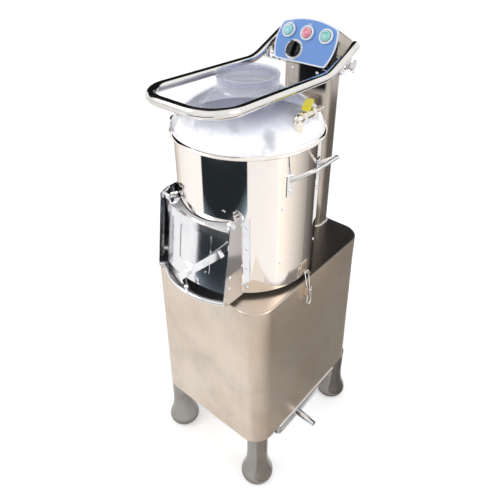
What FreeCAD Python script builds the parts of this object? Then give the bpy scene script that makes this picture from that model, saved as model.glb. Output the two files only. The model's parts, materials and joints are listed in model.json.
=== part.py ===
import FreeCAD, Part
import math
import os

# Electric potato peeler: a drum with a driven abrasive disc on a cabinet, a clear lid,
# a front hatch, a rear column with a control head and a hinged tubular safety rail.
# Millimetres. X runs right along the front, Y runs to the back, Z up.
# The origin is on the floor under the middle of the cabinet's width.

V = FreeCAD.Vector
X_AXIS = V(1, 0, 0)
Y_AXIS = V(0, 1, 0)
Z_AXIS = V(0, 0, 1)

# Cabinet
cabinet_half_width = 170.0
cabinet_front = -224.0
cabinet_back = 216.0
cabinet_bottom = 180.0
cabinet_top = 619.0
cabinet_corner = 52.0
sheet = 2.0
skirt_half_width = 178.0
skirt_break = 560.0
foot_x = 145.0
foot_front_y = -188.0
foot_back_y = 188.0
foot_hole = 5.0

# Drum
drum_y = -54.0
drum_radius = 160.0
drum_wall = 1.5
drum_bottom = 630.5
drum_top = 958.0
rim_radius = 169.5
rim_bead = 5.5
liner_gap = 0.3
liner_thickness = 5.0
opening_half = 84.0
opening_low = 652.0
opening_high = 792.0

# Hatch
chute_half = 96.0
chute_left = 112.0
chute_sheet = 2.0
door_half = 91.0
door_left = 98.0
door_arc = 254.0
door_front = -225.0
door_thickness = 7.0
door_low = 652.0
door_high = 796.0
door_tilt = 7.9
hinge_y = -208.0
hinge_z = 820.0
lip_arc = 173.5
lip_front = -264.5
lip_z = 634.0
lip_bead = 5.0
stud_x = 2.0
stud_y = -266.5
lever_x = -4.0
lever_z = 676.0
lever_lean = 44.0
lever_short = 38.0
lever_long = 128.0

# Column and head
column_half = 66.0
column_front = 152.0
column_back = 214.0
column_corner = 20.0
fascia_y = 125.3
fascia_z = 1057.7
fascia_lean = 27.9
fascia_low_half = 68.0
fascia_mid_half = 80.0
fascia_top_half = 73.0
fascia_mid_t = 48.0
fascia_side_t = 85.0
fascia_arch_t = 98.0
head_depth = 73.0
fascia_sheet = 2.0
button_s = (-50.5, 0.0, 50.5)
button_t = 66.0
button_radius = 14.5
knob_s = -22.5
knob_t = 25.7

# Safety rail
rail_half = 103.0
rail_tube = 10.5
rail_wall = 1.5
rail_bend_y = 93.0
rail_bend_z = 1055.0
rail_front_y = -259.5
rail_front_z = 1065.0
rail_corner = 68.0
rail_bend_radius = 110.0
rail_end_y = 194.0
rail_end_z = 1100.0
pivot_y = 165.0
pivot_z = 1062.0

# Lid and valve
lid_base = 968.4
lid_wall = 3.0
lid_flange = 165.0
neck_radius = 65.0
neck_top = 1074.0
valve_x = 143.5
valve_y = -74.0
valve_z = 1020.0

# Drum handles
handle_spread = 50.0
handle_z = 898.0
handle_rise = 41.0
handle_reach = 205.0

# Drive
disc_radius = 149.0
disc_z = 644.0
shaft_radius = 12.0
pulley_radius = 90.0
pulley_z = 530.0
pulley_height = 20.0
motor_y = 120.0
motor_radius = 60.0
small_pulley_radius = 30.0

# Drain
tray_z = 174.0
tray_depth = 78.0
pipe_x = 118.0
pipe_y = -20.0
pipe_radius = 16.4
spigot_y = -40.0
spigot_z = 137.0

FIT = 0.1
GAP = 0.3

parts = {}


def keep(name, shape):
    parts[name] = shape


def box(x0, x1, y0, y1, z0, z1):
    return Part.makeBox(x1 - x0, y1 - y0, z1 - z0, V(x0, y0, z0))


def cyl(radius, base, direction, height):
    return Part.makeCylinder(radius, height, base, direction)


def tube(outer, inner, base, direction, height):
    body = cyl(outer, base, direction, height)
    return body.cut(cyl(inner, base - direction * 1.0, direction, height + 2.0))


def rounded(x0, x1, y0, y1, z0, z1, radius):
    block = box(x0, x1, y0, y1, z0, z1)
    upright = [e for e in block.Edges if abs(e.tangentAt(e.FirstParameter).z) > 0.99]
    return block.makeFillet(radius, upright)


def poly_prism(points, direction):
    wire = Part.makePolygon(points + [points[0]])
    return Part.Face(wire).extrude(direction)


def side_prism(yz, x0, x1):
    return poly_prism([V(x0, y, z) for y, z in yz], V(x1 - x0, 0, 0))


def spin(stretches, cx=0.0, cy=drum_y):
    # A closed profile in radius and height, turned about a vertical axis. A stretch of one point is
    # a straight line from the last point, and a longer one is a smooth curve through its points.
    edges = []
    start = stretches[0]
    for stretch in stretches[1:]:
        points = [V(cx + r, cy, z) for r, z in (start,) + stretch]
        if len(points) > 2:
            curve = Part.BSplineCurve()
            curve.interpolate(points)
            edges.append(curve.toShape())
        else:
            edges.append(Part.LineSegment(points[0], points[1]).toShape())
        start = stretch[-1]
    face = Part.Face(Part.Wire(edges))
    return face.revolve(V(cx, cy, 0), Z_AXIS, 360)


def spin_poly(points, cx=0.0, cy=drum_y):
    wire = Part.makePolygon([V(cx + r, cy, z) for r, z in points + [points[0]]])
    return Part.Face(wire).revolve(V(cx, cy, 0), Z_AXIS, 360)


def bent_path(points, radii):
    # Straight runs joined by tangent arcs of the given radius at each inner point.
    edges = []
    here = points[0]
    for i in range(1, len(points) - 1):
        corner = points[i]
        back = (points[i - 1] - corner).normalize()
        ahead = (points[i + 1] - corner).normalize()
        half = math.acos(max(-1.0, min(1.0, back.dot(ahead)))) / 2.0
        reach = radii[i - 1] / math.tan(half)
        a = corner + back * reach
        b = corner + ahead * reach
        middle = (back + ahead).normalize()
        m = corner + middle * (radii[i - 1] / math.sin(half) - radii[i - 1])
        edges.append(Part.LineSegment(here, a).toShape())
        edges.append(Part.Arc(a, m, b).toShape())
        here = b
    edges.append(Part.LineSegment(here, points[-1]).toShape())
    return Part.Wire(edges)


def sweep(path, radius):
    first = path.Edges[0]
    start = first.valueAt(first.FirstParameter)
    ring = Part.Wire(Part.makeCircle(radius, start, first.tangentAt(first.FirstParameter)))
    return path.makePipeShell([ring], True, False)


def hexagon(across, base, direction, height):
    # A hexagonal prism measured across its flats.
    r = across / math.sqrt(3.0)
    points = [V(r * math.cos(math.radians(60 * i)), r * math.sin(math.radians(60 * i)), 0) for i in range(6)]
    solid = poly_prism(points, V(0, 0, height))
    solid.Placement = FreeCAD.Placement(base, FreeCAD.Rotation(Z_AXIS, direction))
    return solid


def fuse_all(shapes):
    result = shapes[0]
    for shape in shapes[1:]:
        result = result.fuse(shape)
    return result.removeSplitter()


def at_fascia(shape, s, t, k=0.0):
    # Moves a shape built on +Z so that +Z is the fascia's outward normal at (s, t), k above it.
    lean = math.radians(fascia_lean)
    up = V(0, math.sin(lean), math.cos(lean))
    out = V(0, -math.cos(lean), math.sin(lean))
    place = V(0, fascia_y, fascia_z) + X_AXIS * s + up * t + out * k
    matrix = FreeCAD.Matrix(1, up.x, out.x, place.x, 0, up.y, out.y, place.y, 0, up.z, out.z, place.z, 0, 0, 0, 1)
    moved = shape.copy()
    moved.Placement = FreeCAD.Placement(matrix).multiply(shape.Placement)
    return moved


def mirrored_x(shape):
    return shape.mirror(V(0, 0, 0), X_AXIS)


def drum_point(angle, radius, z):
    a = math.radians(angle)
    return V(radius * math.cos(a), drum_y + radius * math.sin(a), z)


# Cabinet, its frame and its feet

def outline_wire(half, front, back, radius, z):
    corners = rounded(-half, half, front, back, z, z + 1.0, radius)
    return [f for f in corners.Faces if f.BoundBox.ZMax < z + 0.1][0].OuterWire


def tapered(half_low, half_high, front, back, low, high, radius):
    # A box with rounded upright corners whose sides lean in to a narrower top.
    lower = outline_wire(half_low, front, back, radius, low)
    upper = outline_wire(half_high, front, back, radius, high)
    return Part.makeLoft([lower, upper], True, True)


def build_cabinet():
    half = cabinet_half_width
    low_half = skirt_half_width
    outer = rounded(-half, half, cabinet_front, cabinet_back, skirt_break, cabinet_top, cabinet_corner)
    crown = [e for e in outer.Edges if e.BoundBox.ZMin > cabinet_top - 0.1]
    outer = outer.makeFillet(4.0, crown)
    outer = outer.fuse(tapered(low_half, half, cabinet_front, cabinet_back, cabinet_bottom, skirt_break,
                               cabinet_corner))
    front = cabinet_front + sheet
    back = cabinet_back - sheet
    inner = rounded(-half + sheet, half - sheet, front, back, skirt_break, cabinet_top - sheet,
                    cabinet_corner - sheet)
    inner = inner.fuse(tapered(low_half - sheet, half - sheet, front, back, cabinet_bottom, skirt_break,
                               cabinet_corner - sheet))
    shell = outer.cut(inner)
    service = box(-118, 118, cabinet_back - 10, cabinet_back + 5, 232, 560)
    shaft_hole = cyl(41.0, V(0, drum_y, cabinet_top - 10), Z_AXIS, 20)
    pipe_hole = cyl(19.5, V(pipe_x, pipe_y, cabinet_top - 10), Z_AXIS, 20)
    wire_hole = cyl(18.0, V(0, 183, cabinet_top - 10), Z_AXIS, 20)
    gland_hole = cyl(8.2, V(140 - 10, cabinet_back - 10, 205), Y_AXIS, 20)
    for tool in (service, shaft_hole, pipe_hole, wire_hole, gland_hole):
        shell = shell.cut(tool)
    keep("cabinet_shell", shell)

    cover = rounded(-132, 132, 0, 346, 0, 1.5, 8.0)
    cover.rotate(V(0, 0, 0), X_AXIS, 90)
    cover.translate(V(0, cabinet_back + 1.5, 222))
    for row in range(7):
        z = 300 + 14 * row
        slot = box(-50, 50, cabinet_back - 2, cabinet_back + 4, z, z + 5)
        cover = cover.cut(slot)
    screws = []
    for x in (-125, 0, 125):
        for z in (230, 560):
            cover = cover.cut(cyl(2.6, V(x, cabinet_back - 2, z), Y_AXIS, 6))
            head = cyl(4.5, V(x, cabinet_back + 1.5, z), Y_AXIS, 2.2)
            screws.append(head.fuse(cyl(2.2, V(x, cabinet_back + 0.2, z), Y_AXIS, 1.4)))
    keep("rear_cover", cover)
    keep("rear_cover_screws", Part.makeCompound(screws))

    # Four corner plates carry the feet, with a folded angle along each wall between them.
    floor_half = low_half - sheet - 1.0
    y0 = front + GAP
    y1 = back - GAP
    slab = rounded(-floor_half, floor_half, y0, y1, cabinet_bottom, cabinet_bottom + 3.0, cabinet_corner - sheet)
    frame = []
    for x in (-foot_x, foot_x):
        for y in (foot_front_y, foot_back_y):
            side = math.copysign(1.0, x)
            end = math.copysign(1.0, y)
            x0, x1 = sorted((side * 105.0, side * 200.0))
            c0, c1 = sorted((end * 148.0, end * 260.0))
            plate = slab.common(box(x0, x1, c0, c1, 100, 300))
            frame.append(plate.cut(cyl(6.0 + FIT, V(x, y, cabinet_bottom - 5), Z_AXIS, 12)))
    low = cabinet_bottom
    high = cabinet_bottom + 38.0
    frame.append(side_prism([(y0, low), (y0 + 40, low), (y0 + 40, low + 3), (y0 + 3, low + 3), (y0 + 3, high),
                             (y0, high)], -104.7, 104.7))
    angle = side_prism([(y1, low), (y1 - 40, low), (y1 - 40, low + 3), (y1 - 3, low + 3), (y1 - 3, high),
                        (y1, high)], -104.7, 104.7)
    frame.append(angle)
    for side in (-1, 1):
        wall = side * floor_half
        points = [V(wall, -147.7, low), V(wall - side * 54, -147.7, low), V(wall - side * 54, -147.7, low + 3),
                  V(wall - side * 3, -147.7, low + 3), V(wall - side * 3, -147.7, high), V(wall, -147.7, high)]
        beam = poly_prism(points, V(0, 295.4, 0))
        beam = beam.cut(cyl(pipe_radius + 1.0, V(pipe_x, pipe_y, low - 5), Z_AXIS, 60))
        frame.append(beam)
    keep("base_frame", Part.makeCompound(frame))


def build_feet():
    for end, y in (("front", foot_front_y), ("rear", foot_back_y)):
        for side, x in (("left", -foot_x), ("right", foot_x)):
            bell = spin([(foot_hole, 0), ((30, 0),), ((39, 5), (43.5, 17), (42, 28), (37, 42), (32, 60), (29, 80), (27.5, 104)),
                         ((27.5, cabinet_bottom),), ((6.0, cabinet_bottom),), ((6.0, cabinet_bottom + 16),),
                         ((0, cabinet_bottom + 16),), ((0, 30),), ((foot_hole, 30),),
                         ((foot_hole, 0),)], x, y)
            keep("foot_%s_%s" % (end, side), bell)


# Drum

def hatch_cutter(grow=0.0):
    return box(-opening_half - grow, opening_half + grow, drum_y - 200, drum_y - 60,
               opening_low - grow, opening_high + grow)


def build_drum():
    inner = drum_radius - drum_wall
    wall = tube(drum_radius, inner, V(0, drum_y, drum_bottom), Z_AXIS, drum_top - drum_bottom)
    wall = wall.cut(hatch_cutter())
    bead_r = rim_radius - rim_bead
    bead = spin([(inner, drum_top - 2), ((drum_radius, drum_top - 2),), ((drum_radius, drum_top),),
                 ((rim_radius, drum_top + rim_bead - 1), (bead_r, drum_top + 2 * rim_bead - 1)),
                 ((inner, drum_top + 2 * rim_bead - 1),), ((inner, drum_top - 2),)])
    floor = spin_poly([(24, 633), (inner + 0.5, 633), (inner + 0.5, 635), (24, 635)])
    floor = floor.cut(cyl(pipe_radius + 0.2, V(pipe_x, pipe_y, 620), Z_AXIS, 30))
    keep("drum_shell", fuse_all([wall, bead, floor]))

    keep("drum_seal", spin_poly([(145, cabinet_top), (152, cabinet_top), (152, drum_bottom), (149, drum_bottom + 2.5),
                                 (145, drum_bottom + 2.5)]))

    liner_out = inner - liner_gap
    liner = tube(liner_out, liner_out - liner_thickness, V(0, drum_y, 642), Z_AXIS, 300)
    keep("abrasive_liner", liner.cut(hatch_cutter(1.0)))

    heads = []
    for turn in range(8):
        angle = -68.0 + 45.0 * turn
        for z in (700.0, 838.0):
            if turn in (0, 7) and z < 800:
                continue
            out = drum_point(angle, 1.0, 0) - V(0, drum_y, 0)
            heads.append(cyl(4.0, drum_point(angle, drum_radius + 0.02, z), out, 2.0))
    keep("liner_screws", Part.makeCompound(heads))


# Hatch

def build_chute():
    outline = [(-150, 834), (-200, 834), (-221, 826), (-247, 645), (-240, 630), (-150, 630)]
    bore = cyl(drum_radius, V(0, drum_y, 600), Z_AXIS, 260)
    for half, name in ((chute_half, "right"), (chute_left, "left")):
        plate = side_prism(outline, half - chute_sheet, half).cut(bore)
        strip = tube(drum_radius + 1.6, drum_radius, V(0, drum_y, 632), Z_AXIS, 194)
        strip = strip.common(box(half - chute_sheet, half + 11, -250, drum_y, 600, 850))
        plate = plate.fuse(strip).removeSplitter()
        plate = plate.cut(cyl(4.0, V(80, hinge_y, hinge_z), X_AXIS, 60))
        keep("chute_plate_%s" % name, plate if name == "right" else mirrored_x(plate))

    low_x = chute_sheet + 0.2 - chute_left
    high_x = chute_half - chute_sheet - 0.2
    centre_y = lip_front + lip_arc
    floor = cyl(lip_arc, V(0, centre_y, lip_z - 1), Z_AXIS, 2.0)
    floor = floor.common(box(low_x, high_x, -300, -150, 600, 700)).cut(bore)
    bead = Part.makeTorus(lip_arc, lip_bead, V(0, centre_y, lip_z), Z_AXIS)
    bead = bead.common(box(low_x, high_x, -300, centre_y, 600, 700))
    post = cyl(3.0, V(stud_x, stud_y, lip_z), Z_AXIS, 16)
    collar = cyl(6.0, V(stud_x, stud_y, lip_z + 4.6), Z_AXIS, 3.0)
    ball = Part.makeSphere(5.5, V(stud_x, stud_y, lip_z + 18))
    keep("chute_lip", fuse_all([floor, bead, post, collar, ball]))


def tilt_door(shape):
    # The door hangs on its pins with its foot further forward than its top.
    moved = shape.copy()
    moved.rotate(V(0, hinge_y, hinge_z), X_AXIS, -door_tilt)
    return moved


def door_slab(front, back, low, high):
    centre = V(0, door_front + door_arc, low)
    skin = tube(door_arc + (door_front - front), door_arc + (door_front - back), centre, Z_AXIS, high - low)
    return skin.common(box(-door_left, door_half, -300, -150, low, high))


def build_door():
    panel = door_slab(door_front, door_front + door_thickness, door_low, door_high)
    ridge_out = rounded(-47, 47, 0, 100, 0, 40, 9)
    ridge_in = rounded(-42, 42, 5, 95, -5, 45, 6)
    ridge = ridge_out.cut(ridge_in)
    ridge.rotate(V(0, 0, 0), X_AXIS, 90)
    ridge.translate(V(0, -200, 686))
    raised = door_slab(door_front - 1.8, door_front + 2, door_low, door_high).common(ridge)
    panel = tilt_door(panel.fuse(raised).removeSplitter())

    # The visor closes the gap between the panel's top and the drum.
    slope = math.radians(31.0)
    depth = 70.0
    drop = depth * math.tan(slope)
    top_y = -165.0
    top_z = 837.4
    visor = side_prism([(top_y, top_z), (top_y - depth, top_z - drop), (top_y - depth, top_z - drop - 6.5),
                        (top_y, top_z - 6.5)], -door_left, door_half)
    front_wall = cyl(door_arc + 1.0, V(0, door_front - 4.5 + door_arc, 700), Z_AXIS, 200)
    visor = visor.common(front_wall)
    brow = tilt_door(door_slab(door_front - 4.0, door_front + 4.0, 784, 804))
    ears = [cyl(9.5, V(door_half, hinge_y, hinge_z), V(-1, 0, 0), 8.0)]
    ears.append(cyl(9.5, V(-door_left, hinge_y, hinge_z), X_AXIS, 8.0))
    boss_x = 8.0 - door_left
    boss_y = hinge_y + 9.0
    boss = cyl(13.5, V(boss_x, boss_y, hinge_z - 14), Z_AXIS, 14.0)
    boss_hole = cyl(9.5, V(boss_x, boss_y, hinge_z - 9), Z_AXIS, 20.0)
    block = box(lever_x - 15, lever_x + 15, door_front - 4.0, door_front + 1, lever_z - 15, lever_z + 13)
    block = block.makeFillet(3.0, [e for e in block.Edges if abs(e.tangentAt(e.FirstParameter).y) > 0.9])
    shank = tilt_door(cyl(4.0, V(lever_x, door_front - 0.5, lever_z), V(0, -1, 0), 9.0))
    door = fuse_all([panel, visor, brow, tilt_door(block), boss] + ears).cut(shank)
    door = door.cut(cyl(drum_radius + 1.6, V(0, drum_y, 600), Z_AXIS, 300))
    door = door.cut(box(-150, 150, hinge_y + 2, -100, hinge_z, 900)).cut(boss_hole)
    for side, reach in ((-1, door_left), (1, door_half)):
        door = door.cut(cyl(4.0 + FIT, V(side * (reach - 9), hinge_y, hinge_z), V(side, 0, 0), 40))
    keep("hatch_door", max(door.Solids, key=lambda piece: piece.Volume))

    pins = []
    for side, reach, wall in ((-1, door_left, chute_left), (1, door_half, chute_half)):
        pin = cyl(4.0, V(side * (reach - 8.5), hinge_y, hinge_z), V(side, 0, 0), wall - reach + 8.5)
        head = hexagon(10.0, V(side * wall, hinge_y, hinge_z), V(side, 0, 0), 4.5)
        pins.append(pin.fuse(head))
    keep("door_hinge_bolts", Part.makeCompound(pins))

    bar = rounded(-lever_short, lever_long, -8, 8, 0, 4.5, 2.0)
    tip = box(lever_long - 3.5, lever_long, -8, 8, 4.5, 12.0)
    bar = bar.fuse(tip).removeSplitter()
    bar = bar.cut(cyl(4.0 + FIT, V(0, 0, -5), Z_AXIS, 20))
    bar.rotate(V(0, 0, 0), Z_AXIS, lever_lean)
    bar.rotate(V(0, 0, 0), X_AXIS, 90)
    bar.translate(V(lever_x, door_front - 4.0 - GAP, lever_z))
    keep("door_lever", tilt_door(bar))

    washer = cyl(7.5, V(lever_x, door_front - 9.1, lever_z), V(0, -1, 0), 1.4)
    nut = hexagon(12.0, V(lever_x, door_front - 10.5, lever_z), V(0, -1, 0), 6.0)
    keep("lever_bolt", fuse_all([shank, tilt_door(washer), tilt_door(nut)]))


# Drum handles

def build_handles():
    root = V(drum_radius - 13.0, drum_y - handle_spread, handle_z)
    turn = V(handle_reach, drum_y - handle_spread + 7, handle_z + handle_rise)
    points = [root, turn, V(turn.x, 2 * drum_y - turn.y, turn.z), V(root.x, 2 * drum_y - root.y, root.z)]
    rod = sweep(bent_path(points, [15.0, 15.0]), 4.2)
    rod = rod.cut(cyl(drum_radius + 1.0, V(0, drum_y, 800), Z_AXIS, 200))
    pads = tube(drum_radius + 2.0, drum_radius, V(0, drum_y, handle_z - 32), Z_AXIS, 48)
    pieces = [rod]
    for y in (drum_y - handle_spread, drum_y + handle_spread):
        pieces.append(pads.common(box(140, 175, y - 8, y + 8, handle_z - 40, handle_z + 30)))
        angle = math.degrees(math.asin((y - drum_y) / drum_radius))
        out = drum_point(angle, 1.0, 0) - V(0, drum_y, 0)
        pieces.append(cyl(3.2, drum_point(angle, drum_radius + 1.0, handle_z - 20), out, 3.0))
    handle = fuse_all(pieces)
    keep("handle_right", handle)
    keep("handle_left", mirrored_x(handle))


# Toggle latches between the drum and the cabinet

latch_y = -45.0
latch_axis_x = cabinet_half_width + 9.0
latch_axis_z = 597.0
bail_drop = 8.0


def build_latches():
    pieces = [box(cabinet_half_width, cabinet_half_width + 1.8, latch_y - 13, latch_y + 13, 576, 611)]
    for side in (-1, 1):
        inner, outer = sorted((latch_y + side * 9.0, latch_y + side * 11.0))
        pieces.append(box(cabinet_half_width + 1.8, latch_axis_x + 4, inner, outer, 588, 606))
        pieces.append(cyl(1.8, V(latch_axis_x, latch_y + side * 11.0, latch_axis_z), V(0, -side, 0), 4.2))
    base = fuse_all(pieces)

    lever_low = 548.0
    cheek = box(latch_axis_x - 3.6, latch_axis_x + 3.6, latch_y - 8.6, latch_y + 8.6, 584, latch_axis_z + 4)
    cheek = cheek.cut(box(latch_axis_x - 5, latch_axis_x + 5, latch_y - 6.8, latch_y + 6.8, 580, 610))
    bridge = box(latch_axis_x + 1.0, latch_axis_x + 3.6, latch_y - 8.6, latch_y + 8.6, 582.5, 585.5)
    loop_x = latch_axis_x + 2.4
    loop = bent_path([V(loop_x, latch_y - 6.5, 584), V(loop_x, latch_y - 8, 560), V(loop_x, latch_y, lever_low),
                      V(loop_x, latch_y + 8, 560), V(loop_x, latch_y + 6.5, 584)], [6.0, 6.0, 6.0])
    lever = fuse_all([cheek, bridge, sweep(loop, 1.6)])
    lever = lever.cut(cyl(1.8 + FIT, V(latch_axis_x, latch_y - 20, latch_axis_z), Y_AXIS, 40))
    bail_z = latch_axis_z - bail_drop
    for y in (latch_y - 9.0, latch_y + 6.0):
        lever = lever.cut(cyl(1.5 + FIT, V(latch_axis_x, y, bail_z), Y_AXIS, 3.2))

    hook_x = drum_radius + 9.0
    hook_z = 646.0
    arm = 4.0
    bail_path = bent_path([V(latch_axis_x, latch_y - 8.5, bail_z), V(latch_axis_x, latch_y - arm, bail_z),
                           V(hook_x, latch_y - 7, hook_z), V(hook_x, latch_y + 7, hook_z),
                           V(latch_axis_x, latch_y + arm, bail_z), V(latch_axis_x, latch_y + 8.5, bail_z)],
                          [1.6, 2.4, 2.4, 1.6])
    bail = sweep(bail_path, 1.5)

    pad = tube(drum_radius + 1.8, drum_radius, V(0, drum_y, 640), Z_AXIS, 28)
    pad = pad.common(box(140, 175, latch_y - 11, latch_y + 11, 630, 680))
    shelf = box(drum_radius - 4, hook_x + 8.5, latch_y - 3.6, latch_y + 3.6, hook_z - 4.0, hook_z - 1.9)
    lip = box(hook_x + 7.0, hook_x + 8.5, latch_y - 3.6, latch_y + 3.6, hook_z - 1.9, hook_z - 0.2)
    keeper = fuse_all([shelf, lip]).cut(cyl(drum_radius + 1.8, V(0, drum_y, 600), Z_AXIS, 100))
    keeper = keeper.fuse(pad).removeSplitter()
    rivets = []
    for dy in (-7.0, 7.0):
        angle = math.degrees(math.asin((latch_y + dy - drum_y) / drum_radius))
        out = drum_point(angle, 1.0, 0) - V(0, drum_y, 0)
        rivets.append(cyl(2.4, drum_point(angle, drum_radius + 1.7, 661), out, 1.4))
    keeper = fuse_all([keeper] + rivets)
    for side, name in ((1, "right"), (-1, "left")):
        for label, shape in (("latch_lever", lever), ("latch_bail", bail)):
            keep("%s_%s" % (label, name), shape if side > 0 else mirrored_x(shape))
    keep("latch_bases", Part.makeCompound([base, mirrored_x(base)]))
    keep("latch_keepers", Part.makeCompound([keeper, mirrored_x(keeper)]))


# Column and control head

def fascia_outline(grow=0.0):
    low = fascia_low_half + grow
    mid = fascia_mid_half + grow
    top = fascia_top_half + grow
    side = fascia_side_t + grow
    arch = fascia_arch_t + grow
    left = Part.Arc(V(-top, side, 0), V(-mid, fascia_mid_t, 0), V(-low, -grow, 0)).toShape()
    bottom = Part.LineSegment(V(-low, -grow, 0), V(low, -grow, 0)).toShape()
    right = Part.Arc(V(low, -grow, 0), V(mid, fascia_mid_t, 0), V(top, side, 0)).toShape()
    crown = Part.Arc(V(top, side, 0), V(0, arch, 0), V(-top, side, 0)).toShape()
    return Part.Wire([left, bottom, right, crown])


def head_block(grow=0.0, front=0.0, back=-head_depth):
    face = Part.Face(fascia_outline(grow))
    block = face.extrude(V(0, 0, back - front))
    block.translate(V(0, 0, front))
    corners = [e for e in block.Edges if abs(e.tangentAt(e.FirstParameter).z) > 0.99]
    return block.makeFillet(7.0 + grow, corners)


def build_head():
    solid_head = at_fascia(head_block(), 0, 0)
    hollow = at_fascia(head_block(-sheet, 5.0, -head_depth + sheet), 0, 0)
    shell = solid_head.cut(hollow)
    column = rounded(-column_half, column_half, column_front, column_back, cabinet_top, 1120, column_corner)
    bore = rounded(-column_half + sheet, column_half - sheet, column_front + sheet, column_back - sheet,
                   cabinet_top - 5, 1125, column_corner - sheet)
    column = column.cut(bore).cut(solid_head)
    lower = column.Solids[0]
    for piece in column.Solids:
        if piece.Volume > lower.Volume:
            lower = piece
    keep("column", lower)
    throat = rounded(-50, 50, column_front + 12, 182, 1000, 1060, 6)
    keep("head_housing", shell.cut(throat))

    plate = at_fascia(head_block(0.8, fascia_sheet, 0.0), 0, 0)
    for s in button_s:
        plate = plate.cut(at_fascia(cyl(11.0, V(0, 0, -5), Z_AXIS, 12), s, button_t))
    plate = plate.cut(at_fascia(cyl(5.0, V(0, 0, -5), Z_AXIS, 12), knob_s, knob_t))
    keep("fascia_plate", plate)

    bodies = []
    for s, name in zip(button_s, ("left", "middle", "right")):
        bezel = tube(button_radius, 12.2, V(0, 0, 0), Z_AXIS, 4.0)
        barrel = tube(10.9, 9.3, V(0, 0, -26), Z_AXIS, 26)
        flange = tube(12.4, 9.3, V(0, 0, 0), Z_AXIS, 1.2)
        block = box(-10, 10, -14, 14, -50, -25)
        bodies.append(at_fascia(fuse_all([bezel, barrel, flange, block]), s, button_t, fascia_sheet))
        cap = cyl(11.8, V(0, 0, 5.4), Z_AXIS, 4.2)
        cap = cap.makeFillet(2.0, [e for e in cap.Edges if e.BoundBox.ZMin > 9.5])
        stem = cyl(9.0, V(0, 0, -12), Z_AXIS, 17.4)
        keep("button_cap_%s" % name, at_fascia(fuse_all([cap, stem]), s, button_t, fascia_sheet))

    keep("button_bodies", Part.makeCompound(bodies))

    ring = tube(23.0, 6.0, V(0, 0, 0), Z_AXIS, 1.6)
    keep("timer_dial_ring", at_fascia(ring, knob_s, knob_t, fascia_sheet))
    skirt = cyl(17.8, V(0, 0, 2.2), Z_AXIS, 5.0)
    skirt = skirt.makeFillet(1.5, [e for e in skirt.Edges if e.BoundBox.ZMin > 7.0])
    grip = rounded(-16.2, 16.2, -5.0, 5.0, 7.0, 17.0, 3.0)
    grip.rotate(V(0, 0, 0), Z_AXIS, 52)
    nose = box(-19.5, -15.5, -1.6, 1.6, 2.4, 7.0)
    spindle = cyl(3.0, V(0, 0, -18), Z_AXIS, 24)
    knob = fuse_all([skirt, grip, nose, spindle])
    knob.rotate(V(0, 0, 0), Z_AXIS, 35)
    keep("timer_knob", at_fascia(knob, knob_s, knob_t, fascia_sheet))
    clock = box(-22, 22, -20, 20, -50, -4).cut(cyl(3.0 + FIT, V(0, 0, -18.3), Z_AXIS, 30))
    keep("timer_body", at_fascia(clock, knob_s, knob_t, fascia_sheet))
    return solid_head


# Safety rail

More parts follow.
